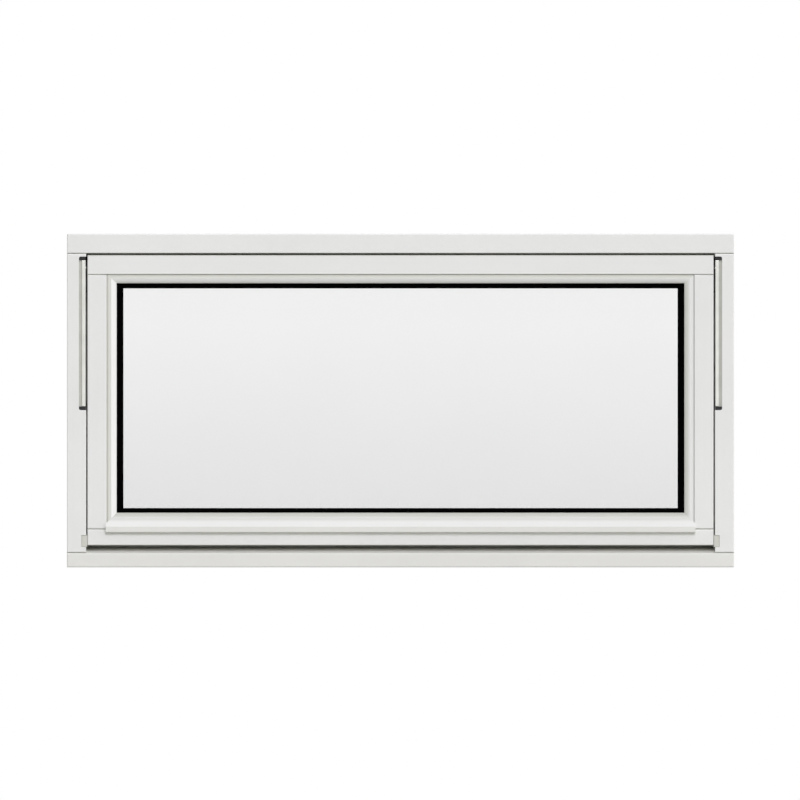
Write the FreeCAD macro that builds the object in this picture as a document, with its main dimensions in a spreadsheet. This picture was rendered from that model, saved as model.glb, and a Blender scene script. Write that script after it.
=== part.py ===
import FreeCAD, Part
import math
import os
import re
import Sketcher

# Top hung awning window: timber frame and sash, double glazing, side stays.
# Millimetres. X runs along the window, -Y is outside, Z is up; origin under the middle of the sill.

# Driving dimensions: name, value, meaning.
SIZES = (
    ("frame_width", 1200, "over the jambs"),
    ("frame_height", 600, "sill underside to head top"),
    ("frame_depth", 115, "outside face to room face"),
    ("head_face", 35, "head seen from outside"),
    ("jamb_face", 34.5, "jamb seen from outside"),
    ("sill_face", 25, "sill seen from outside"),
    ("sill_run", 30, "weathered front of the sill top, depth"),
    ("sill_rise", 8.6, "weathered front of the sill top, rise"),
    ("sill_lift", 2.2, "further rise of the sill top up to the stop"),
    ("stop_lap", 10, "stop behind the sash on all four sides"),
    ("frame_round", 2, "rounded edges of the frame"),
    ("joint_gap", 1, "open joints in the outside faces, width"),
    ("joint_depth", 5, "open joints in the outside faces, depth"),
    ("lining_width", 8, "groove for the reveal lining, width"),
    ("lining_depth", 9, "groove for the reveal lining, depth"),
    ("lining_inset", 12, "groove for the reveal lining, from the stop's edge"),
    ("drip_width", 6, "drip grooves, width"),
    ("drip_depth", 5, "drip grooves, depth"),
    ("drip_inset", 12, "drip grooves, from the outside face"),
    ("fixing_bore", 10, "frame fixing holes, diameter"),
    ("fixing_inset", 130, "frame fixing holes, from the frame's top and bottom"),
    ("fixing_setback", 26, "frame fixing holes, from the room face"),
    ("side_gap", 2.2, "gap from sash to jamb"),
    ("head_gap", 3.2, "gap from sash to head"),
    ("sill_gap", 14.6, "gap from sash to the sill's front edge"),
    ("sash_recess", 2, "sash face behind the frame face"),
    ("sash_depth", 57, "sash thickness"),
    ("seal_gap", 4, "sash to stop, filled by the weather seal"),
    ("seal_inset", 2, "weather seal, in from the sash edge and the stop edge"),
    ("seal_round", 1.5, "weather seal, rounded edges"),
    ("rail_face", 35, "top rail seen from outside, without its bead"),
    ("stile_face", 35, "stile seen from outside, without its bead"),
    ("bottom_rail_face", 28, "bottom rail seen from outside at the stile joint"),
    ("leg_depth", 15, "sash leg behind the glass"),
    ("leg_bevel", 5, "bevel on the room edge of that leg"),
    ("platform_rise", 12, "slope of the glazing platform in the bottom rail"),
    ("sash_round", 2, "rounded edges of the sash"),
    ("side_bead", 17.7, "side beads seen from outside"),
    ("top_bead", 15.8, "top bead seen from outside"),
    ("bottom_bead", 30.5, "bottom bead above the stile joint"),
    ("bead_gap", 0.75, "open joint beside a bead, width"),
    ("bead_sink", 3.5, "level outer band of a bead behind the sash face"),
    ("bead_step", 1, "rounded step of a bead from that band up to the ridge"),
    ("bead_ridge", 0.42, "place of the ridge across a bead, as a share"),
    ("bead_lip", 2, "edge of a bead at the gasket"),
    ("bead_swell", 16, "radius of the rounded slope from the ridge to the gasket"),
    ("nose_reach", 8, "drip nose in front of the sash face"),
    ("nose_height", 10, "front face of the drip nose"),
    ("nose_drop", 4.6, "drip nose below the stile joint"),
    ("nose_lap", 2.4, "drip nose past the side beads"),
    ("nose_groove", 2.4, "groove under the drip nose"),
    ("nose_round", 0.9, "rounded edges of the drip nose"),
    ("pane", 4, "thickness of one pane"),
    ("cavity", 16, "space between the panes"),
    ("inner_gasket", 3, "thickness of the room side gasket"),
    ("inner_lip", 2, "room side gasket seen past the sash leg"),
    ("outer_gasket", 4, "thickness of the outside gasket"),
    ("spacer_show", 0.5, "spacer bar seen past the outside gasket"),
    ("gasket_bevel", 3, "bevel of the outside gasket's lip"),
    ("gasket_cover", 8, "gaskets behind bead and leg"),
    ("side_dark", 12.1, "dark edge of the glass at the sides"),
    ("top_dark", 9.4, "dark edge of the glass at the top"),
    ("bottom_dark", 8.4, "dark edge of the glass at the bottom"),
    ("spacer", 7.5, "height of the spacer bar"),
    ("glass_cover", 20, "glass edge beyond the spacer's sight line"),
    ("block_length", 80, "setting blocks, length"),
    ("block_inset", 150, "setting blocks, from the glass corner"),
    ("pocket_width", 13, "stay pocket in the jamb, across"),
    ("pocket_length", 276.3, "stay pocket in the jamb, upright"),
    ("pocket_drop", 6, "stay pocket below the head"),
    ("pocket_depth", 40, "stay pocket from the outside face"),
    ("pocket_round", 3, "stay pocket corners"),
    ("cap_top", 6.5, "upper end cap of a stay"),
    ("cap_bottom", 6.5, "lower end cap of a stay"),
    ("cap_setback", 1.5, "end caps behind the frame face"),
    ("cap_depth", 24, "end caps, depth"),
    ("track_across", 5, "stay track, across the pocket"),
    ("track_depth", 18, "stay track, depth"),
    ("track_wall", 1.2, "stay track, sheet thickness"),
    ("track_lip", 4, "stay track, returned lips"),
    ("track_setback", 5, "stay track behind the frame face"),
    ("arm_across", 6.3, "stay arm, across the pocket"),
    ("arm_depth", 22, "stay arm, depth"),
    ("arm_setback", 1, "stay arm behind the frame face"),
    ("arm_round", 6, "stay arm, rounded ends"),
    ("arm_play", 0.5, "stay arm, play beside the track"),
    ("pin_bore", 6, "stay pins, diameter"),
    ("pin_inset", 14, "stay pins, from the arm's ends"),
    ("pin_play", 0.4, "stay pins, play in depth and round their holes"),
    ("bracket_across", 2, "sash bracket, thickness"),
    ("bracket_depth", 13, "sash bracket, depth"),
    ("bracket_rise", 12, "sash bracket above its pin"),
    ("bracket_fall", 44, "sash bracket below its pin"),
    ("bracket_round", 4, "sash bracket, rounded corners"),
    ("guide_width", 8.5, "run-up block in the jamb"),
    ("guide_past", 1.9, "run-up block past the jamb's edge"),
    ("guide_height", 21, "run-up block, height"),
    ("guide_rise", 11.5, "run-up block above the sill's front edge"),
    ("guide_depth", 26, "run-up block, depth of its notch"),
    ("guide_setback", 1.2, "run-up block behind the frame face"),
    ("guide_round", 1.5, "run-up block, rounded edges"),
    ("handle_drop", 23, "handle below the inside daylight line"),
    ("rose_length", 66, "handle rose, length"),
    ("rose_width", 28, "handle rose, width"),
    ("rose_depth", 8, "handle rose, thickness"),
    ("rose_round", 2.5, "handle rose, rounded edge"),
    ("neck_bore", 17, "handle neck, diameter"),
    ("neck_reach", 24, "handle neck, length"),
    ("grip_length", 116, "handle grip from the neck to its end"),
    ("grip_width", 20, "handle grip at the neck"),
    ("grip_tip", 15, "handle grip at its end"),
    ("grip_depth", 11, "handle grip, thickness"),
    ("grip_round", 3, "handle grip, rounded edges"),
)

# Places worked out from the driving dimensions.
PLACES = {
    "half_width": "frame_width / 2",
    "front": "-frame_depth / 2",
    "back": "frame_depth / 2",
    "jamb_inner": "half_width - jamb_face",
    "head_under": "frame_height - head_face",
    "sash_front": "front + sash_recess",
    "sash_back": "sash_front + sash_depth",
    "stop_front": "sash_back + seal_gap",
    "sash_half": "jamb_inner - side_gap",
    "sash_top": "head_under - head_gap",
    "sash_bottom": "sill_face + sill_gap",
    "stop_half": "sash_half - stop_lap",
    "stop_top": "sash_top - stop_lap",
    "stop_bottom": "sash_bottom + stop_lap",
    "sill_slope": "sill_rise / sill_run",
    "sill_break": "sill_face + sill_rise",
    "sill_back": "sill_break + sill_lift",
    "rebate_half": "sash_half - stile_face",
    "rebate_top": "sash_top - rail_face",
    "rebate_bottom": "sash_bottom + bottom_rail_face",
    "day_half": "rebate_half - side_bead",
    "day_top": "rebate_top - top_bead",
    "day_bottom": "rebate_bottom + bottom_bead",
    "glass_seat": "sash_back - leg_depth",
    "unit_back": "glass_seat - inner_gasket",
    "unit_front": "unit_back - 2 * pane - cavity",
    "bead_back": "unit_front - outer_gasket",
    "clear_half": "day_half - side_dark",
    "clear_top": "day_top - top_dark",
    "clear_bottom": "day_bottom + bottom_dark",
    "platform_fall": "platform_rise / (glass_seat - sash_front)",
    "platform_back": "rebate_bottom + platform_rise",
    "side_ridge": "rebate_half - bead_ridge * side_bead",
    "top_ridge": "rebate_top - bead_ridge * top_bead",
    "bottom_ridge": "mitre_bottom + bead_ridge * side_bead",
    "band_front": "sash_front + bead_sink",
    "ridge_front": "band_front - bead_step",
    "mitre_bottom": "day_bottom - side_bead",
    "nose_front": "sash_front - nose_reach",
    "nose_bottom": "rebate_bottom - nose_drop",
    "nose_top": "nose_bottom + nose_height",
    "pocket_wall": "jamb_inner + pocket_width",
    "pocket_top": "head_under - pocket_drop",
    "pocket_bottom": "pocket_top - pocket_length",
    "stay_top": "pocket_top - cap_top",
    "stay_bottom": "pocket_bottom + cap_bottom",
    "track_open": "pocket_wall - track_across",
    "track_front": "front + track_setback",
    "track_back": "track_front + track_depth",
    "arm_outer": "track_open - arm_play",
    "arm_inner": "arm_outer - arm_across",
    "arm_front": "front + arm_setback",
    "arm_back": "arm_front + arm_depth",
    "pin_depth": "track_front + track_depth / 2",
    "pin_high": "stay_top - pin_inset",
    "pin_low": "stay_bottom + pin_inset",
    "guide_low": "sill_face + guide_rise",
    "guide_high": "guide_low + guide_height",
    "guide_outer": "jamb_inner + guide_width",
    "guide_inner": "jamb_inner - guide_past",
    "handle_height": "day_bottom - handle_drop",
    "rose_back": "sash_back + rose_depth",
    "grip_front": "rose_back + neck_reach",
}

SIDES = (("left", -1), ("right", 1))
NEAR = 1e-4

doc = FreeCAD.newDocument("AwningWindow")
sheet = doc.addObject("Spreadsheet::Sheet", "Sizes")
SIZE_NAMES = set()
for row, (alias, value, meaning) in enumerate(SIZES, start=1):
    sheet.set(f"A{row}", meaning)
    sheet.set(f"B{row}", str(value))
    sheet.setAlias(f"B{row}", alias)
    SIZE_NAMES.add(alias)
doc.recompute()


def formula(text):
    """Spell a place or a sum of sizes as an expression on the sheet."""
    def spell(match):
        word = match.group(0)
        if word in PLACES:
            return f"({formula(PLACES[word])})"
        if word in SIZE_NAMES:
            return f"Sizes.{word}"
        return word
    return re.sub(r"[A-Za-z_]\w*", spell, text)


def amount(text):
    """Value of a place or sum in millimetres."""
    return float(sheet.evalExpression(formula(text)))


def bind(item, path, text):
    """Tie a property to the sheet."""
    item.setExpression(path, formula(text))


def mirrored(side, text):
    """The same distance out from the middle, on the left or the right."""
    return f"{side} * ({text})"


def new_body(label):
    body = doc.addObject("PartDesign::Body", label)
    body.Label = label
    body.Placement = FreeCAD.Placement()
    return body


def new_sketch(body, plane, offset=None):
    """Empty sketch on one of the body's own origin planes, moved along its normal."""
    sketch = body.newObject("Sketcher::SketchObject", f"{body.Name}_sketch")
    support = next(item for item in body.Origin.OriginFeatures if item.Role == plane)
    sketch.AttachmentSupport = [(support, "")]
    sketch.MapMode = "FlatFace"
    if offset:
        bind(sketch, "AttachmentOffset.Base.z", offset)
    return sketch


def hold(sketch, kind, geometry, end, text):
    """Dimension from the sketch origin to one end of a line or arc."""
    number = sketch.addConstraint(Sketcher.Constraint(kind, -1, 1, geometry, end, amount(text)))
    bind(sketch, f"Constraints[{number}]", text)


def arc_between(start, end, radius, turn):
    """Arc from start to end; turn 1 is anticlockwise, -1 clockwise."""
    across = end - start
    middle = (start + end) * 0.5
    aside = FreeCAD.Vector(-across.y, across.x, 0) / across.Length
    centre = middle + aside * turn * math.sqrt(radius ** 2 - across.Length ** 2 / 4)
    first, last = (start, end) if turn > 0 else (end, start)
    angles = [math.atan2(p.y - centre.y, p.x - centre.x) for p in (first, last)]
    return Part.ArcOfCircle(Part.Circle(centre, FreeCAD.Vector(0, 0, 1), radius), *angles)


def draw(sketch, outline):
    """Closed outline. A corner is (x, y); with (x, y, radius, turn) an arc leaves it."""
    first = sketch.GeometryCount
    points = [FreeCAD.Vector(amount(c[0]), amount(c[1]), 0) for c in outline]
    total = len(outline)
    ends = []
    for k, corner in enumerate(outline):
        start, end = points[k], points[(k + 1) % total]
        if len(corner) == 4:
            radius, turn = corner[2], corner[3]
            number = sketch.addGeometry(arc_between(start, end, amount(radius), turn))
            limit = sketch.addConstraint(Sketcher.Constraint("Radius", number, amount(radius)))
            bind(sketch, f"Constraints[{limit}]", radius)
            ends.append((1, 2) if turn > 0 else (2, 1))
        else:
            sketch.addGeometry(Part.LineSegment(start, end))
            ends.append((1, 2))
    for k, corner in enumerate(outline):
        here, after = first + k, first + (k + 1) % total
        sketch.addConstraint(
            Sketcher.Constraint("Coincident", here, ends[k][1], after, ends[(k + 1) % total][0]))
        hold(sketch, "DistanceX", here, ends[k][0], corner[0])
        hold(sketch, "DistanceY", here, ends[k][0], corner[1])


def draw_box(sketch, low_x, high_x, low_y, high_y):
    draw(sketch, [(low_x, low_y), (high_x, low_y), (high_x, high_y), (low_x, high_y)])


def draw_circle(sketch, across, up, diameter):
    centre = FreeCAD.Vector(amount(across), amount(up), 0)
    circle = Part.Circle(centre, FreeCAD.Vector(0, 0, 1), amount(diameter) / 2)
    number = sketch.addGeometry(circle)
    limit = sketch.addConstraint(Sketcher.Constraint("Diameter", number, amount(diameter)))
    bind(sketch, f"Constraints[{limit}]", diameter)
    hold(sketch, "DistanceX", number, 3, across)
    hold(sketch, "DistanceY", number, 3, up)


def feature(body, kind, sketch, length=None, both=False, back=False):
    """Pad or pocket of a sketch, to a length or through all."""
    item = body.newObject(f"PartDesign::{kind}", f"{body.Name}_{kind.lower()}")
    item.Profile = sketch
    if both:
        item.SideType = "Symmetric"
    item.Reversed = back
    if length:
        bind(item, "Length", length)
    else:
        item.Type = "ThroughAll"
    doc.recompute()
    return item


def pad(body, plane, outline, length, offset=None, both=False, back=False):
    sketch = new_sketch(body, plane, offset)
    draw(sketch, outline)
    return feature(body, "Pad", sketch, length, both, back)


def cut(body, plane, outline, length=None, offset=None):
    """Pocket of an outline: through all both ways, or to a length into the solid."""
    sketch = new_sketch(body, plane, offset)
    draw(sketch, outline)
    return feature(body, "Pocket", sketch, length, both=length is None)


def edges_on(item, places):
    """Names of the edges that lie on any of the given lines, such as {"y": 3, "z": 5}."""
    names = []
    for number, edge in enumerate(item.Shape.Edges, start=1):
        ends = [vertex.Point for vertex in edge.Vertexes]
        for place in places:
            wanted = [(axis, amount(text)) for axis, text in place.items()]
            if all(abs(getattr(p, axis) - v) < NEAR for p in ends for axis, v in wanted):
                names.append(f"Edge{number}")
                break
    return names


def soften(body, radius, places, kind="Fillet"):
    """Round or bevel the edges on the given lines of the body's last feature."""
    base = body.Tip
    item = body.newObject(f"PartDesign::{kind}", f"{body.Name}_{kind.lower()}")
    item.Base = (base, edges_on(base, places))
    bind(item, "Radius" if kind == "Fillet" else "Size", radius)
    doc.recompute()
    return item


def lining_groove(edge, outward):
    """Corners of the lining groove in the room face, met while going outward from the stop."""
    near = f"{edge} {outward} lining_inset"
    far = f"{edge} {outward} (lining_inset + lining_width)"
    floor = "back - lining_depth"
    return [("back", near), (floor, near), (floor, far), ("back", far)]


def drip_groove(face, height):
    """Corners of a drip groove in an underside, met while going outward."""
    near = f"{face} + drip_inset"
    far = f"{face} + drip_inset + drip_width"
    roof = f"{height} + drip_depth"
    return [(far, height), (far, roof), (near, roof), (near, height)]


def end_lines(half, face):
    """The upright edges at both ends of a level member's face."""
    return [{"x": mirrored(side, half), "y": face} for name, side in SIDES]


def open_joint(face, edge, slope, way):
    """Corners of the narrow gap that shows where two members meet; way is + or - into the member."""
    inner = f"{edge} + ({slope}) * joint_depth"
    return [(face, edge), (f"{face} + joint_depth", inner),
            (f"{face} + joint_depth", f"{inner} {way} joint_gap"), (face, f"{edge} {way} joint_gap")]


# Top of the sill from its front edge up to the stop.
SILL_TOP = [("front", "sill_face"), ("front + sill_run", "sill_break"), ("stop_front", "sill_back"),
            ("stop_front", "stop_bottom"), ("back", "stop_bottom")]


def frame_head():
    body = new_body("frame_head")
    outline = [("front", "head_under"), ("stop_front", "head_under"), ("stop_front", "stop_top"),
               ("back", "stop_top")]
    outline += lining_groove("stop_top", "+")
    outline += [("back", "frame_height"), ("front", "frame_height")]
    pad(body, "YZ_Plane", outline, "frame_width", both=True)
    soften(body, "frame_round", [{"y": "front", "z": "head_under"}, {"y": "front", "z": "frame_height"},
                                 {"y": "back", "z": "stop_top"}, *end_lines("half_width", "front")])
    return body


def frame_sill():
    body = new_body("frame_sill")
    outline = [("front", "0")] + SILL_TOP
    outline += lining_groove("stop_bottom", "-")
    outline += [("back", "0")]
    outline += drip_groove("front", "0")
    pad(body, "YZ_Plane", outline, "frame_width", both=True)
    soften(body, "frame_round", [{"y": "front", "z": "0"}, {"y": "front", "z": "sill_face"},
                                 {"y": "back", "z": "stop_bottom"}, *end_lines("half_width", "front")])
    return body


def frame_jamb(name, side):
    body = new_body(f"frame_jamb_{name}")
    groove = [(mirrored(side, across), depth) for depth, across in lining_groove("stop_half", "+")]
    outline = [(mirrored(side, "half_width"), "front"), (mirrored(side, "jamb_inner"), "front"),
               (mirrored(side, "jamb_inner"), "stop_front"), (mirrored(side, "stop_half"), "stop_front"),
               (mirrored(side, "stop_half"), "back")]
    outline += groove
    outline += [(mirrored(side, "half_width"), "back")]
    pad(body, "XY_Plane", outline, "head_under - sill_face", offset="sill_face")
    cut(body, "YZ_Plane", SILL_TOP + [("back", "sill_face")])
    cut(body, "YZ_Plane", [("stop_front", "stop_top"), ("back", "stop_top"), ("back", "head_under"),
                           ("stop_front", "head_under")])
    cut(body, "YZ_Plane", open_joint("front", "sill_face", "sill_slope", "+"))
    cut(body, "YZ_Plane", open_joint("front", "head_under", "0", "-"))
    soften(body, "frame_round", [{"x": mirrored(side, "half_width"), "y": "front"},
                                 {"x": mirrored(side, "jamb_inner"), "y": "front"},
                                 {"x": mirrored(side, "stop_half"), "y": "back"},
                                 {"y": "front", "z": "sill_face + joint_gap"},
                                 {"y": "front", "z": "head_under - joint_gap"}])
    front_cut(body, side, "sash_half", "pocket_wall", "pocket_bottom", "pocket_top", "pocket_depth")
    soften(body, "pocket_round", [{"x": mirrored(side, "pocket_wall"), "z": "pocket_top"},
                                  {"x": mirrored(side, "pocket_wall"), "z": "pocket_bottom"}])
    front_cut(body, side, "sash_half", "guide_outer", "guide_low", "guide_high", "guide_depth")
    holes = new_sketch(body, "YZ_Plane")
    for height in ("fixing_inset", "frame_height - fixing_inset"):
        draw_circle(holes, "back - fixing_setback", height, "fixing_bore")
    feature(body, "Pocket", holes, both=True)
    return body


def front_cut(body, side, inner, outer, low, high, depth):
    """Pocket milled into the outside face of a jamb."""
    outline = [(mirrored(side, inner), low), (mirrored(side, outer), low),
               (mirrored(side, outer), high), (mirrored(side, inner), high)]
    cut(body, "XZ_Plane", outline, depth, offset="-(front)")


TOP_COPE = [("glass_seat", "rebate_top"), ("glass_seat", "day_top"),
            ("sash_back - leg_bevel", "day_top"), ("sash_back", "day_top + leg_bevel")]
BOTTOM_COPE = [("sash_front", "rebate_bottom"), ("glass_seat", "platform_back"),
               ("glass_seat", "day_bottom"), ("sash_back - leg_bevel", "day_bottom"),
               ("sash_back", "day_bottom - leg_bevel")]


def sash_top_rail():
    body = new_body("sash_top_rail")
    outline = [("sash_front", "rebate_top")] + TOP_COPE
    outline += [("sash_back", "sash_top"), ("sash_front", "sash_top")]
    pad(body, "YZ_Plane", outline, "2 * (sash_half)", both=True)
    soften(body, "sash_round", [{"y": "sash_front", "z": "sash_top"}, {"y": "sash_back", "z": "sash_top"},
                                {"y": "sash_front", "z": "rebate_top"},
                                *end_lines("sash_half", "sash_front")])
    return body


def sash_bottom_rail():
    body = new_body("sash_bottom_rail")
    outline = BOTTOM_COPE + [("sash_back", "sash_bottom")]
    outline += drip_groove("sash_front", "sash_bottom")
    outline += [("sash_front", "sash_bottom")]
    pad(body, "YZ_Plane", outline, "2 * (sash_half)", both=True)
    soften(body, "sash_round", [{"y": "sash_front", "z": "sash_bottom"},
                                {"y": "sash_back", "z": "sash_bottom"},
                                {"y": "sash_front", "z": "rebate_bottom"},
                                *end_lines("sash_half", "sash_front")])
    return body


def sash_stile(name, side):
    body = new_body(f"sash_stile_{name}")
    outline = [("sash_half", "sash_front"), ("rebate_half", "sash_front"), ("rebate_half", "glass_seat"),
               ("day_half", "glass_seat"), ("day_half", "sash_back - leg_bevel"),
               ("day_half + leg_bevel", "sash_back"), ("sash_half", "sash_back")]
    outline = [(mirrored(side, across), depth) for across, depth in outline]
    pad(body, "XY_Plane", outline, "rebate_top - rebate_bottom", offset="rebate_bottom")
    cut(body, "YZ_Plane", BOTTOM_COPE + [("sash_back", "rebate_bottom")])
    cut(body, "YZ_Plane", TOP_COPE + [("sash_back", "rebate_top")])
    cut(body, "YZ_Plane", open_joint("sash_front", "rebate_bottom", "platform_fall", "+"))
    cut(body, "YZ_Plane", open_joint("sash_front", "rebate_top", "0", "-"))
    soften(body, "sash_round", [{"x": mirrored(side, "sash_half"), "y": "sash_front"},
                                {"x": mirrored(side, "sash_half"), "y": "sash_back"},
                                {"x": mirrored(side, "rebate_half"), "y": "sash_front"},
                                {"y": "sash_front", "z": "rebate_bottom + joint_gap"},
                                {"y": "sash_front", "z": "rebate_top - joint_gap"}])
    return body


def bead_profile(rebate, ridge, daylight, turn):
    """Bead from the rebate to the glass: joint, outer band, rounded step and a rounded slope."""
    return [("bead_back", rebate), ("band_front + joint_depth", rebate),
            ("band_front + joint_depth", f"{rebate} - bead_gap"), ("band_front", f"{rebate} - bead_gap"),
            ("band_front", f"{ridge} + bead_step", "bead_step", turn),
            ("ridge_front", ridge, "bead_swell", turn),
            ("bead_back - bead_lip", daylight), ("bead_back", daylight)]


def bead_top():
    body = new_body("bead_top")
    outline = bead_profile("rebate_top", "top_ridge", "day_top", 1)
    pad(body, "YZ_Plane", outline, "2 * (rebate_half)", both=True)
    for name, side in SIDES:
        cut(body, "XZ_Plane", [(mirrored(side, "day_half"), "day_top"),
                               (mirrored(side, "rebate_half"), "day_top"),
                               (mirrored(side, "rebate_half"), "rebate_top")])
    return body


def bead_side(name, side):
    body = new_body(f"bead_{name}")
    outline = bead_profile("rebate_half", "side_ridge", "day_half", -side)
    outline = [(mirrored(side, corner[1]), corner[0]) + corner[2:] for corner in outline]
    pad(body, "XY_Plane", outline, "rebate_top - mitre_bottom", offset="mitre_bottom")
    cut(body, "XZ_Plane", [(mirrored(side, "day_half"), "day_top"),
                           (mirrored(side, "rebate_half"), "rebate_top"),
                           (mirrored(side, "day_half"), "rebate_top")])
    cut(body, "XZ_Plane", [(mirrored(side, "day_half"), "day_bottom"),
                           (mirrored(side, "rebate_half"), "mitre_bottom"),
                           (mirrored(side, "day_half"), "mitre_bottom")])
    return body


def bead_bottom():
    """Bottom bead: seated on the sloped platform, rounded at the glass, sloping to a drip nose."""
    body = new_body("bead_bottom")
    foot = "rebate_bottom + platform_fall * (bead_back - sash_front)"
    groove = "nose_front + nose_reach / 2"
    roof = "nose_bottom + nose_groove"
    outline = [("bead_back", foot), ("sash_front", "rebate_bottom"), ("sash_front", "nose_bottom"),
               (f"{groove} + nose_groove / 2", "nose_bottom"), (f"{groove} + nose_groove / 2", roof),
               (f"{groove} - nose_groove / 2", roof), (f"{groove} - nose_groove / 2", "nose_bottom"),
               ("nose_front", "nose_bottom"), ("nose_front", "nose_top"),
               ("ridge_front", "bottom_ridge", "bead_swell", -1),
               ("bead_back - bead_lip", "day_bottom"), ("bead_back", "day_bottom")]
    pad(body, "YZ_Plane", outline, "2 * (rebate_half + nose_lap)", both=True)
    soften(body, "nose_round", [{"y": "nose_front", "z": "nose_bottom"}, {"y": "nose_front", "z": "nose_top"}])
    for name, side in SIDES:
        end = mirrored(side, "rebate_half + nose_lap")
        shoulder = mirrored(side, "rebate_half")
        cut(body, "XZ_Plane", [(mirrored(side, "day_half"), "day_bottom"), (shoulder, "mitre_bottom"),
                               (end, "mitre_bottom"), (end, "day_bottom")])
        cut(body, "XY_Plane", [(shoulder, "sash_front"), (end, "sash_front"), (end, "bead_back"),
                               (shoulder, "bead_back")])
    return body


def ring(label, front, depth, inner, outer):
    """Rectangular ring in the window's plane; inner and outer are half width, bottom, top."""
    body = new_body(label)
    sketch = new_sketch(body, "XZ_Plane", offset=f"-({front})")
    for half, low, high in (outer, inner):
        draw_box(sketch, f"-({half})", half, low, high)
    feature(body, "Pad", sketch, depth, back=True)
    return body


def grown(half, low, high, by):
    """An opening's half width, bottom and top, moved outward all round."""
    return (f"{half} + {by}", f"{low} - ({by})", f"{high} + {by}")


DAYLIGHT = ("day_half", "day_bottom", "day_top")
CLEAR = ("clear_half", "clear_bottom", "clear_top")


def outer_glazing_gasket():
    lip = grown(*CLEAR, "spacer_show")
    body = ring("outer_glazing_gasket", "bead_back", "outer_gasket", lip, grown(*DAYLIGHT, "gasket_cover"))
    half, low, high = lip
    soften(body, "gasket_bevel", [{"y": "bead_back", "x": half}, {"y": "bead_back", "x": f"-({half})"},
                                  {"y": "bead_back", "z": low}, {"y": "bead_back", "z": high}], "Chamfer")
    return body


def inner_glazing_gasket():
    return ring("inner_glazing_gasket", "unit_back", "inner_gasket", grown(*DAYLIGHT, "-inner_lip"),
                grown(*DAYLIGHT, "gasket_cover"))


def spacer_bar():
    return ring("spacer_bar", "unit_front + pane", "cavity", CLEAR, grown(*CLEAR, "spacer"))


def edge_seal():
    return ring("edge_seal", "unit_front + pane", "cavity", grown(*CLEAR, "spacer"),
                grown(*CLEAR, "glass_cover"))


def weather_seal():
    outer = ("sash_half - seal_inset", "sash_bottom + seal_inset", "sash_top - seal_inset")
    inner = ("stop_half + seal_inset", "stop_bottom - seal_inset", "stop_top + seal_inset")
    body = ring("weather_seal", "sash_back", "seal_gap", inner, outer)
    half, low, high = inner
    soften(body, "seal_round", [{"y": "sash_back", "x": half}, {"y": "sash_back", "x": f"-({half})"},
                                {"y": "sash_back", "z": low}, {"y": "sash_back", "z": high}])
    return body


def glass_pane(label, front):
    body = new_body(label)
    half, low, high = grown(*CLEAR, "glass_cover")
    outline = [(f"-({half})", low), (half, low), (half, high), (f"-({half})", high)]
    pad(body, "XZ_Plane", outline, "pane", offset=f"-({front})", back=True)
    return body


def setting_block(name, side):
    """Wedge on the sloped platform that carries the glass unit's lower edge."""
    body = new_body(f"setting_block_{name}")
    under = "rebate_bottom + platform_fall * ({} - sash_front)"
    outline = [("unit_front", under.format("unit_front")), ("unit_back", under.format("unit_back")),
               ("unit_back", "clear_bottom - glass_cover"), ("unit_front", "clear_bottom - glass_cover")]
    middle = mirrored(side, "clear_half + glass_cover - block_inset")
    pad(body, "YZ_Plane", outline, "block_length", offset=middle, both=True)
    return body


def stay_track(name, side):
    """Lipped channel screwed to the pocket's wall, open towards the arm."""
    body = new_body(f"stay_track_{name}")
    outline = [("pocket_wall", "track_front"), ("track_open", "track_front"),
               ("track_open", "track_front + track_lip"),
               ("track_open + track_wall", "track_front + track_lip"),
               ("track_open + track_wall", "track_front + track_wall"),
               ("pocket_wall - track_wall", "track_front + track_wall"),
               ("pocket_wall - track_wall", "track_back - track_wall"),
               ("track_open + track_wall", "track_back - track_wall"),
               ("track_open + track_wall", "track_back - track_lip"),
               ("track_open", "track_back - track_lip"), ("track_open", "track_back"),
               ("pocket_wall", "track_back")]
    outline = [(mirrored(side, across), depth) for across, depth in outline]
    pad(body, "XY_Plane", outline, "stay_top - stay_bottom", offset="stay_bottom")
    return body


def stay_arm(name, side):
    """Arm with rounded ends; one pin runs in the track, the other holds the sash bracket."""
    body = new_body(f"stay_arm_{name}")
    outline = [("arm_front", "stay_bottom"), ("arm_back", "stay_bottom"), ("arm_back", "stay_top"),
               ("arm_front", "stay_top")]
    inner = mirrored(side, "arm_inner")
    outer = mirrored(side, "arm_outer")
    pad(body, "YZ_Plane", outline, "arm_across", offset=inner, back=side < 0)
    soften(body, "arm_round", [{"y": "arm_back", "z": "stay_bottom"}, {"y": "arm_back", "z": "stay_top"}])
    soften(body, "guide_round", [{"y": "arm_front", "z": "stay_bottom"}, {"y": "arm_front", "z": "stay_top"}])
    low_pin = new_sketch(body, "YZ_Plane", offset=outer)
    draw_circle(low_pin, "pin_depth", "pin_low", "pin_bore")
    feature(body, "Pad", low_pin, "arm_play + track_across - track_wall - pin_play", back=side < 0)
    high_pin = new_sketch(body, "YZ_Plane", offset=inner)
    draw_circle(high_pin, "pin_depth", "pin_high", "pin_bore")
    feature(body, "Pad", high_pin, "arm_inner - sash_half - pin_play", back=side > 0)
    return body


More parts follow.
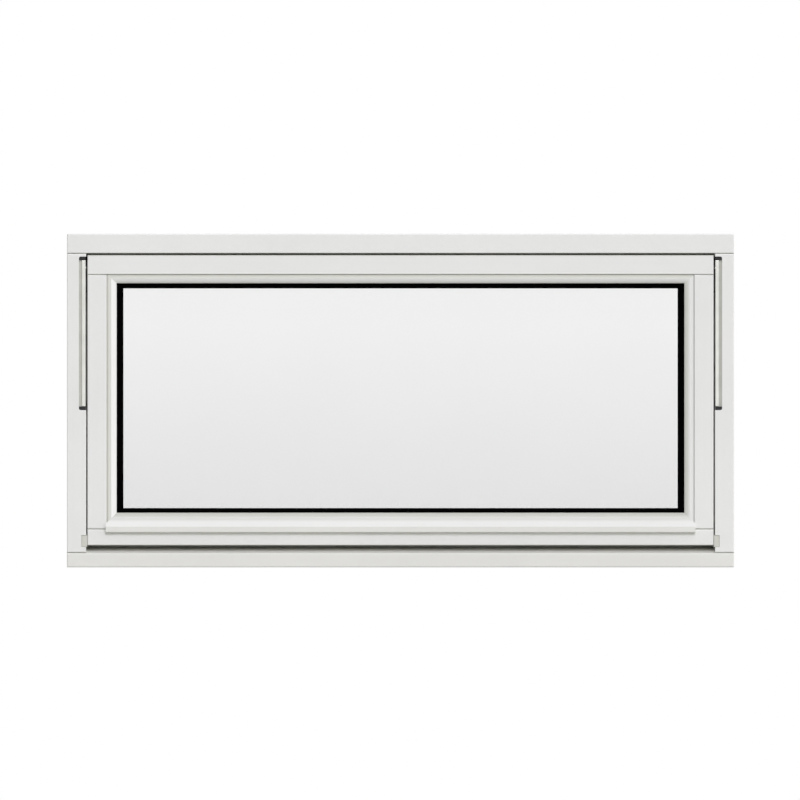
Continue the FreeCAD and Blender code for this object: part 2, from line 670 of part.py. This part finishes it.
def sash_bracket(name, side):
    """Plate on the sash edge that the stay arm's upper pin passes into."""
    body = new_body(f"sash_bracket_{name}")
    front_edge = "pin_depth - bracket_depth / 2"
    back_edge = "pin_depth + bracket_depth / 2"
    low = "pin_high - bracket_fall"
    high = "pin_high + bracket_rise"
    outline = [(front_edge, low), (back_edge, low), (back_edge, high), (front_edge, high)]
    pad(body, "YZ_Plane", outline, "bracket_across", offset=mirrored(side, "sash_half"), back=side < 0)
    soften(body, "bracket_round", [{"y": y, "z": z} for y in (front_edge, back_edge) for z in (low, high)])
    hole = new_sketch(body, "YZ_Plane")
    draw_circle(hole, "pin_depth", "pin_high", "pin_bore + 2 * pin_play")
    feature(body, "Pocket", hole, both=True)
    return body


def stay_cap(name, side, end, low, high, corner):
    """Moulded end cap that fills one end of the stay pocket."""
    body = new_body(f"stay_cap_{end}_{name}")
    outline = [("arm_inner", low), ("pocket_wall", low), ("pocket_wall", high), ("arm_inner", high)]
    outline = [(mirrored(side, across), height) for across, height in outline]
    pad(body, "XZ_Plane", outline, "cap_depth", offset="-(front + cap_setback)", back=True)
    soften(body, "pocket_round", [{"x": mirrored(side, "pocket_wall"), "z": corner}])
    return body


def run_up_block(name, side):
    """Block in a notch of the jamb that lifts and centres the closing sash."""
    body = new_body(f"run_up_block_{name}")
    outline = [("guide_inner", "guide_low"), ("guide_outer", "guide_low"), ("guide_outer", "guide_high"),
               ("guide_inner", "guide_high")]
    outline = [(mirrored(side, across), height) for across, height in outline]
    pad(body, "XZ_Plane", outline, "guide_depth - guide_setback", offset="-(front + guide_setback)", back=True)
    front_face = "front + guide_setback"
    soften(body, "guide_round", [{"y": front_face, "x": mirrored(side, "guide_inner")},
                                 {"y": front_face, "x": mirrored(side, "guide_outer")},
                                 {"y": front_face, "z": "guide_low"}, {"y": front_face, "z": "guide_high"}])
    return body


def handle_rose():
    """Oblong base plate of the handle on the bottom rail's room face."""
    body = new_body("handle_rose")
    straight = "(rose_length - rose_width) / 2"
    low = "handle_height - rose_width / 2"
    high = "handle_height + rose_width / 2"
    # A half turn is drawn as two quarter turns so that each arc has one centre.
    tip = "rose_length / 2"
    outline = [(f"-{straight}", low), (straight, low, "rose_width / 2", 1),
               (tip, "handle_height", "rose_width / 2", 1), (straight, high),
               (f"-{straight}", high, "rose_width / 2", 1), (f"-({tip})", "handle_height", "rose_width / 2", 1)]
    pad(body, "XZ_Plane", outline, "rose_depth", offset="-(sash_back)", back=True)
    soften(body, "rose_round", [{"y": "rose_back"}])
    return body


def handle_lever():
    """Round neck and a tapered grip with a rounded end, lying along the rail when shut."""
    body = new_body("handle_lever")
    neck = new_sketch(body, "XZ_Plane", offset="-(rose_back)")
    draw_circle(neck, "0", "handle_height", "neck_bore")
    feature(body, "Pad", neck, "neck_reach", back=True)
    wide = "grip_width / 2"
    narrow = "grip_tip / 2"
    far = "grip_length - grip_tip / 2"
    outline = [("0", f"handle_height - {wide}"), (far, f"handle_height - {narrow}", narrow, 1),
               ("grip_length", "handle_height", narrow, 1), (far, f"handle_height + {narrow}"),
               ("0", f"handle_height + {wide}", wide, 1), (f"-{wide}", "handle_height", wide, 1)]
    pad(body, "XZ_Plane", outline, "grip_depth", offset="-(grip_front)", back=True)
    soften(body, "grip_round", [{"y": "grip_front + grip_depth"}])
    return body


def build():
    pieces = [frame_head(), frame_sill(), sash_top_rail(), sash_bottom_rail(), bead_top(), bead_bottom(),
              outer_glazing_gasket(), inner_glazing_gasket(), spacer_bar(), edge_seal(), weather_seal(),
              glass_pane("outer_pane", "unit_front"), glass_pane("inner_pane", "unit_back - pane"),
              handle_rose(), handle_lever()]
    for name, side in SIDES:
        pieces += [frame_jamb(name, side), sash_stile(name, side), bead_side(name, side),
                   setting_block(name, side), stay_track(name, side), stay_arm(name, side),
                   sash_bracket(name, side), run_up_block(name, side),
                   stay_cap(name, side, "top", "stay_top", "pocket_top", "pocket_top"),
                   stay_cap(name, side, "bottom", "pocket_bottom", "stay_bottom", "pocket_bottom")]
    return pieces


def check(pieces):
    """Stop if a feature failed, a pocket cut nothing or a piece is not one valid solid."""
    for item in doc.Objects:
        if "Invalid" in item.State or "Error" in item.State:
            raise RuntimeError(f"{item.Name} failed: {item.State}")
        if item.TypeId == "PartDesign::Pocket":
            if item.Shape.Volume > item.BaseFeature.Shape.Volume - NEAR:
                raise RuntimeError(f"{item.Name} cuts nothing")
    for body in pieces:
        if body.Shape.isNull() or not body.Shape.isValid() or len(body.Shape.Solids) != 1:
            raise RuntimeError(f"{body.Label} is not one valid solid")


pieces = build()
doc.recompute()
check(pieces)
os.makedirs("parts", exist_ok=True)
for body in pieces:
    body.Shape.exportStep(os.path.join("parts", f"{body.Label}.step"))
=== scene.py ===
import math

import bpy
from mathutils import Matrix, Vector


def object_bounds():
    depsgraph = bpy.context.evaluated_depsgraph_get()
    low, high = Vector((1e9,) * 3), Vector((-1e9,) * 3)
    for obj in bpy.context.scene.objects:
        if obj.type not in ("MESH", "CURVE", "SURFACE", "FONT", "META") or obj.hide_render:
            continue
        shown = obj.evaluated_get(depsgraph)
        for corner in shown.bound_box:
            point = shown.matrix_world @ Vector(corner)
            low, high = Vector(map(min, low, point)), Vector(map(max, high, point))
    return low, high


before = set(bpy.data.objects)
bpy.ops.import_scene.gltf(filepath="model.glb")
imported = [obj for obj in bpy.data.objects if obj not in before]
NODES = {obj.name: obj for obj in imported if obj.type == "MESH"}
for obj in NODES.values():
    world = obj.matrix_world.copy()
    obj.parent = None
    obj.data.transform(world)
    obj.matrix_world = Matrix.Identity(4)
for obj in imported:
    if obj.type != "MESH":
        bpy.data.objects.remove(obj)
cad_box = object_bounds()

LOW, HIGH = cad_box

# Photograph's framing: a straight view of the outside face, with the frame 667 pixels wide.
# The picture's centre is half a pixel left of the frame's middle and half a pixel above it.
IMAGE_PIXELS = 800
FRAME_PIXELS = 667
METRES_PER_PIXEL = (HIGH[0] - LOW[0]) / FRAME_PIXELS
VIEW_X = (LOW[0] + HIGH[0]) / 2 - METRES_PER_PIXEL / 2
VIEW_Z = (LOW[2] + HIGH[2]) / 2 + METRES_PER_PIXEL / 2
CAMERA_DISTANCE = 6.0

# Surround light, stronger from the right, and a soft lamp from the upper front.
SURROUND_LEVEL = 0.62
SURROUND_LEAN = Vector((0.56, 0.0, 0.1))
SURROUND_TINT = (1.0, 1.0, 1.045)
LAMP_FROM = Vector((0.12, -0.82, 0.56))
LAMP_LEVEL = 0.45
LAMP_TINT = (0.97, 0.97, 1.08)
LAMP_SPREAD = 0.45

# Floor: half size, colour as seen, and colour for the light that it throws back.
FLOOR_HALF = 12.0
FLOOR_SEEN = (0.86, 0.86, 0.81)
FLOOR_BOUNCE = (0.62, 0.62, 0.585)

# Reflection card in front of the window, and the heights between which its glow rises.
CARD_HALF = 2.5
CARD_TOP = 2.5
CARD_LIFT = 0.005
CARD_DISTANCE = 4.0
CARD_LOW = 0.10
CARD_HIGH = 0.43
CARD_DIM = 0.03
CARD_BRIGHT = 0.85

# Paint on the frame and sash; a darker, warmer copy of it on the sill as painted shade; a lighter copy on
# the left bead as painted light.
WHITE = (0.80, 0.80, 0.745)
SHADED_WHITE = (0.765, 0.760, 0.693)
LIT_WHITE = (0.895, 0.895, 0.835)

# Painted shade: axis, edge of the piece, distances from it where the shade starts and is full, tint.
# On the bottom bead it darkens the part along the glass and the nose, and leaves the slope between them
# plain.
# On the top and left beads it darkens the sunken outer band, and on the right bead the part along the
# glass.
# On the top rail it is a painted shadow along the edge at the gap under the head.
PAINTED_SHADE = {
    "bead_bottom": (("Z", max, -0.0166, -0.0061, (0.70, 0.70, 0.66)),
                    ("Z", min, 0.0105, 0.0095, (0.956, 0.950, 0.930))),
    "bead_top": (("Z", max, -0.0078, -0.0053, (0.87, 0.87, 0.82)),),
    "bead_left": (("X", min, 0.0093, 0.0021, (0.68, 0.68, 0.625)),),
    "bead_right": (("X", min, 0.0089, 0.0069, (0.90, 0.90, 0.86)),),
    "sash_top_rail": (("Z", max, -0.0022, -0.0016, (0.66, 0.66, 0.62)),),
}

# Glass: tint, what it lets through of the light on other surfaces, and refraction.
GLASS_TINT = (0.94, 0.942, 0.94)
GLASS_PASSES = (0.945, 0.955, 0.95)
GLASS_IOR = 1.5

# Texture stretch: even, or drawn out along X or Z.
EVEN = (1.0, 1.0, 1.0)
STRETCH = {"x": (0.02, 1.0, 1.0), "z": (1.0, 1.0, 0.02)}

# Colour sockets of the colour mixing node.
FIRST_COLOUR = 6
SECOND_COLOUR = 7
MIXED_COLOUR = 2


class Nodes:
    """A node tree, with short calls for the nodes used here."""

    def __init__(self, tree):
        self.tree = tree

    def add(self, kind, **values):
        """New node with some of its values set."""
        node = self.tree.nodes.new(kind)
        for key, value in values.items():
            setattr(node, key, value)
        return node

    def join(self, source, target):
        self.tree.links.new(source, target)

    def math(self, operation, first, second):
        """Sum, maximum or comparison of two values; the second may be a plain number."""
        node = self.add("ShaderNodeMath", operation=operation)
        self.join(first, node.inputs[0])
        if isinstance(second, float):
            node.inputs[1].default_value = second
        else:
            self.join(second, node.inputs[1])
        return node.outputs[0]

    def place(self, axis):
        """Place along one axis of the frame."""
        coordinates = self.add("ShaderNodeTexCoord")
        split = self.add("ShaderNodeSeparateXYZ")
        self.join(coordinates.outputs["Object"], split.inputs["Vector"])
        return split.outputs[axis]

    def noise(self, stretch, size, detail=3.0, rough=0.5):
        """Noise pattern fixed to the piece."""
        coordinates = self.add("ShaderNodeTexCoord")
        mapping = self.add("ShaderNodeMapping")
        mapping.inputs["Scale"].default_value = stretch
        self.join(coordinates.outputs["Object"], mapping.inputs["Vector"])
        node = self.add("ShaderNodeTexNoise")
        node.inputs["Scale"].default_value = size
        node.inputs["Detail"].default_value = detail
        node.inputs["Roughness"].default_value = rough
        self.join(mapping.outputs["Vector"], node.inputs["Vector"])
        return node.outputs["Fac"]

    def ramp(self, value, low, high, start=0.3, end=0.7):
        """Straight change from low to high while the value goes from start to end."""
        node = self.add("ShaderNodeMapRange")
        node.inputs["From Min"].default_value = start
        node.inputs["From Max"].default_value = end
        node.inputs["To Min"].default_value = low
        node.inputs["To Max"].default_value = high
        self.join(value, node.inputs["Value"])
        return node.outputs["Result"]

    def blend(self, factor, first, second):
        """Colour between two colours."""
        node = self.add("ShaderNodeMix", data_type="RGBA")
        node.inputs[FIRST_COLOUR].default_value = (*first, 1.0)
        node.inputs[SECOND_COLOUR].default_value = (*second, 1.0)
        self.join(factor, node.inputs["Factor"])
        return node.outputs[MIXED_COLOUR]

    def tinted(self, colour, factor, tint):
        """Colour times a tint, as far as the factor goes."""
        node = self.add("ShaderNodeMix", data_type="RGBA", blend_type="MULTIPLY")
        node.inputs[SECOND_COLOUR].default_value = (*tint, 1.0)
        self.join(factor, node.inputs["Factor"])
        self.join(colour, node.inputs[FIRST_COLOUR])
        return node.outputs[MIXED_COLOUR]

    def bump(self, height, strength, distance, under=None):
        """Relief from a pattern, on top of another relief if there is one."""
        node = self.add("ShaderNodeBump")
        node.inputs["Strength"].default_value = strength
        node.inputs["Distance"].default_value = distance
        self.join(height, node.inputs["Height"])
        if under is not None:
            self.join(under, node.inputs["Normal"])
        return node.outputs["Normal"]

    def mix(self, factor, first, second, output):
        """Give the output node the first shader, or the second as far as the factor goes."""
        node = self.add("ShaderNodeMixShader")
        self.join(factor, node.inputs["Fac"])
        self.join(first, node.inputs[1])
        self.join(second, node.inputs[2])
        self.join(node.outputs["Shader"], self.tree.nodes[output].inputs["Surface"])

    def seen(self):
        """One for what is seen straight on, mirrored or through glass, nought for light on surfaces."""
        path = self.add("ShaderNodeLightPath").outputs
        mirrored_or_through = self.math("MAXIMUM", path["Is Glossy Ray"], path["Is Transmission Ray"])
        return self.math("MAXIMUM", path["Is Camera Ray"], mirrored_or_through)


class Shader(Nodes):
    """A new material and its surface shader."""

    def __init__(self, name):
        self.material = bpy.data.materials.new(name)
        self.material.use_nodes = True
        super().__init__(self.material.node_tree)
        self.surface = self.tree.nodes["Principled BSDF"]
        self.inputs = self.surface.inputs

    def mottled(self, pattern, colour, level):
        """The colour, in patches lighter or darker by the level."""
        other = [channel * level for channel in colour]
        return self.blend(self.ramp(pattern, 0.0, 1.0), colour, other)


def painted_timber(name, colour, along, shade_layers=()):
    """Sprayed white paint on planed softwood: faint grain along the member, slight unevenness, painted
    shade.
    """
    shader = Shader(name)
    grain = shader.noise(STRETCH[along], size=420.0, detail=4.0, rough=0.6)
    film = shader.noise(EVEN, size=900.0, detail=2.0)
    patches = shader.noise(EVEN, size=7.0, detail=2.0)
    tone = shader.mottled(patches, colour, level=0.975)
    # Each layer darkens the tone by its tint across its band: painted shade.
    for axis, start, full, tint in shade_layers:
        tone = shader.tinted(tone, shader.ramp(shader.place(axis), 0.0, 1.0, start, full), tint)
    shader.join(tone, shader.inputs["Base Color"])
    shader.join(shader.ramp(grain, 0.36, 0.46), shader.inputs["Roughness"])
    film_bump = shader.bump(film, strength=0.05, distance=0.0001)
    grain_bump = shader.bump(grain, strength=0.3, distance=0.0002, under=film_bump)
    shader.join(grain_bump, shader.inputs["Normal"])
    return shader.material


def painted_shade_on(piece):
    """Painted shade layers of a piece, with their places measured from its own edges."""
    layers = []
    for axis, edge, start, full, tint in PAINTED_SHADE[piece]:
        place = edge(corner["XYZ".index(axis)] for corner in NODES[piece].bound_box)
        layers.append((axis, place + start, place + full, tint))
    return layers


def black_rubber(name, level, rough):
    """Extruded rubber: fine skin and a dusty bloom."""
    shader = Shader(name)
    bloom = shader.noise(EVEN, size=60.0)
    skin = shader.noise(EVEN, size=1500.0, detail=2.0)
    shader.join(shader.mottled(bloom, (level, level, level), level=1.6), shader.inputs["Base Color"])
    shader.join(shader.ramp(bloom, rough, rough + 0.1), shader.inputs["Roughness"])
    shader.inputs["Specular IOR Level"].default_value = 0.005
    shader.join(shader.bump(skin, strength=0.1, distance=0.0001), shader.inputs["Normal"])
    return shader.material


def moulded_plastic(name, colour, rough):
    """Moulded nylon with a fine sparked texture."""
    shader = Shader(name)
    cloud = shader.noise(EVEN, size=80.0, detail=2.0)
    spark = shader.noise(EVEN, size=1800.0, detail=2.0)
    shader.join(shader.mottled(cloud, colour, level=0.93), shader.inputs["Base Color"])
    shader.join(shader.ramp(spark, rough, rough + 0.12), shader.inputs["Roughness"])
    shader.join(shader.bump(spark, strength=0.12, distance=0.0001), shader.inputs["Normal"])
    return shader.material


def drawn_metal(name, colour, rough, along):
    """Drawn or brushed metal: fine lines along the piece."""
    shader = Shader(name)
    lines = shader.noise(STRETCH[along], size=1600.0, rough=0.6)
    cloud = shader.noise(EVEN, size=40.0, detail=2.0)
    shader.join(shader.mottled(cloud, colour, level=0.9), shader.inputs["Base Color"])
    shader.inputs["Metallic"].default_value = 1.0
    shader.join(shader.ramp(lines, rough, rough + 0.14), shader.inputs["Roughness"])
    shader.join(shader.bump(lines, strength=0.06, distance=0.00005), shader.inputs["Normal"])
    return shader.material


def clear_glass(name):
    """Float glass: clear and faintly tinted; light on its way to other surfaces goes straight through."""
    shader = Shader(name)
    wave = shader.noise(EVEN, size=5.0, detail=1.0)
    shader.join(shader.mottled(wave, GLASS_TINT, level=0.995), shader.inputs["Base Color"])
    shader.inputs["Roughness"].default_value = 0.0
    shader.inputs["IOR"].default_value = GLASS_IOR
    shader.inputs["Transmission Weight"].default_value = 1.0
    path = shader.add("ShaderNodeLightPath").outputs
    lighting = shader.math("MAXIMUM", path["Is Shadow Ray"], path["Is Diffuse Ray"])
    clear = shader.add("ShaderNodeBsdfTransparent")
    clear.inputs["Color"].default_value = (*GLASS_PASSES, 1.0)
    shader.mix(lighting, shader.surface.outputs["BSDF"], clear.outputs["BSDF"], "Material Output")
    return shader.material


def dress():
    """One procedural material for every CAD node, by the start of the node's name."""
    level = painted_timber("paint_level", WHITE, "x")
    upright = painted_timber("paint_upright", WHITE, "z")
    rubber = black_rubber("gasket_rubber", 0.0006, 0.6)
    cap = moulded_plastic("cap_black", (0.008, 0.008, 0.008), 0.55)
    glass = clear_glass("float_glass")
    by_start = {
        "frame_head": level,
        # Sill: darker, warmer copy of the paint, as painted shade.
        "frame_sill": painted_timber("paint_sill_shaded", SHADED_WHITE, "x"),
        "frame_jamb": upright,
        # Top rail and beads: paint darkened by painted shade layers.
        "sash_top_rail": painted_timber("paint_top_rail_shaded", WHITE, "x", painted_shade_on("sash_top_rail")),
        "sash_bottom_rail": level,
        "sash_stile": upright,
        "bead_top": painted_timber("paint_top_bead_shaded", WHITE, "x", painted_shade_on("bead_top")),
        "bead_bottom": painted_timber("paint_bottom_bead_shaded", WHITE, "x", painted_shade_on("bead_bottom")),
        # Left bead: lighter paint as painted light, with painted shade in its sunken band.
        "bead_left": painted_timber("paint_left_bead_lit_and_shaded", LIT_WHITE, "z", painted_shade_on("bead_left")),
        "bead_right": painted_timber("paint_right_bead_shaded", WHITE, "z", painted_shade_on("bead_right")),
        "outer_pane": glass,
        "inner_pane": glass,
        "outer_glazing_gasket": rubber,
        "inner_glazing_gasket": rubber,
        "weather_seal": rubber,
        "spacer_bar": black_rubber("spacer_black", 0.003, 0.6),
        "edge_seal": black_rubber("edge_sealant", 0.005, 0.7),
        "setting_block": cap,
        "stay_track": drawn_metal("zinc_steel", (0.56, 0.56, 0.50), 0.38, "z"),
        "sash_bracket": drawn_metal("blackened_steel", (0.03, 0.03, 0.03), 0.4, "z"),
        "stay_arm": drawn_metal("light_alloy", (0.78, 0.78, 0.71), 0.42, "z"),
        "stay_cap": cap,
        "run_up_block": moulded_plastic("block_grey", (0.635, 0.635, 0.55), 0.45),
        "handle": drawn_metal("satin_nickel", (0.52, 0.51, 0.48), 0.3, "x"),
    }
    for name, node in NODES.items():
        start = max((key for key in by_start if name.startswith(key)), key=len)
        node.data.materials.clear()
        node.data.materials.append(by_start[start])


def sheet_mesh(name, corners):
    """Flat sheet of the stage, through four corners."""
    mesh = bpy.data.meshes.new(name)
    mesh.from_pydata(corners, [], [(0, 1, 2, 3)])
    sheet = bpy.data.objects.new(name, mesh)
    bpy.context.scene.collection.objects.link(sheet)
    return sheet


def make_floor():
    """Pale floor: white to the eye, greyer for the light that it throws back."""
    half = FLOOR_HALF
    floor = sheet_mesh("floor", [(-half, -half, 0), (half, -half, 0), (half, half, 0), (-half, half, 0)])
    shader = Shader("floor_white")
    shader.join(shader.blend(shader.seen(), FLOOR_BOUNCE, FLOOR_SEEN), shader.inputs["Base Color"])
    shader.inputs["Roughness"].default_value = 0.9
    shader.inputs["Specular IOR Level"].default_value = 0.0
    floor.data.materials.append(shader.material)


def make_card():
    """Graded card in front of the window, seen only in the glass and gloss."""
    card = sheet_mesh("reflection_card", [(x, -CARD_DISTANCE, z) for x, z in (
        (-CARD_HALF, CARD_LIFT), (CARD_HALF, CARD_LIFT), (CARD_HALF, CARD_TOP), (-CARD_HALF, CARD_TOP))])
    shader = Shader("card_glow")
    glow = shader.add("ShaderNodeEmission")
    shader.join(shader.ramp(shader.place("Z"), CARD_DIM, CARD_BRIGHT, CARD_LOW, CARD_HIGH),
                glow.inputs["Strength"])
    path = shader.add("ShaderNodeLightPath").outputs
    mirrored = shader.math("GREATER_THAN", path["Glossy Depth"], 0.5)
    nothing = shader.add("ShaderNodeBsdfTransparent")
    shader.mix(mirrored, nothing.outputs["BSDF"], glow.outputs["Emission"], "Material Output")
    card.data.materials.append(shader.material)
    card.visible_camera = False
    card.visible_diffuse = False
    card.visible_shadow = False


def make_surround():
    """Smooth studio surround: brighter towards the right, plain white where it is seen."""
    world = bpy.data.worlds.new("studio")
    world.use_nodes = True
    bpy.context.scene.world = world
    nodes = Nodes(world.node_tree)
    direction = nodes.add("ShaderNodeTexCoord")
    dot = nodes.add("ShaderNodeVectorMath", operation="DOT_PRODUCT")
    dot.inputs[1].default_value = SURROUND_LEAN
    nodes.join(direction.outputs["Generated"], dot.inputs[0])
    soft = nodes.tree.nodes["Background"]
    soft.inputs["Color"].default_value = (*SURROUND_TINT, 1.0)
    nodes.join(nodes.math("ADD", dot.outputs["Value"], SURROUND_LEVEL), soft.inputs["Strength"])
    plain = nodes.add("ShaderNodeBackground")
    plain.inputs["Color"].default_value = (1.0, 1.0, 1.0, 1.0)
    plain.inputs["Strength"].default_value = 1.0
    nodes.mix(nodes.seen(), soft.outputs["Background"], plain.outputs["Background"], "World Output")


def make_lamp():
    """Soft lamp from the upper front."""
    data = bpy.data.lights.new("soft_lamp", "SUN")
    data.energy = LAMP_LEVEL * math.pi
    data.color = LAMP_TINT
    data.angle = LAMP_SPREAD
    lamp = bpy.data.objects.new("soft_lamp", data)
    lamp.rotation_euler = LAMP_FROM.to_track_quat("Z", "Y").to_euler()
    bpy.context.scene.collection.objects.link(lamp)


def make_camera():
    """Level camera without perspective, straight in front of the window."""
    data = bpy.data.cameras.new("camera")
    data.type = "ORTHO"
    data.ortho_scale = METRES_PER_PIXEL * IMAGE_PIXELS
    camera = bpy.data.objects.new("camera", data)
    camera.location = (VIEW_X, -CAMERA_DISTANCE, VIEW_Z)
    camera.rotation_euler = (math.pi / 2, 0.0, 0.0)
    bpy.context.scene.collection.objects.link(camera)
    bpy.context.scene.camera = camera


dress()
make_floor()
make_card()
make_surround()
make_lamp()
make_camera()
bpy.context.scene.view_settings.view_transform = "Standard"
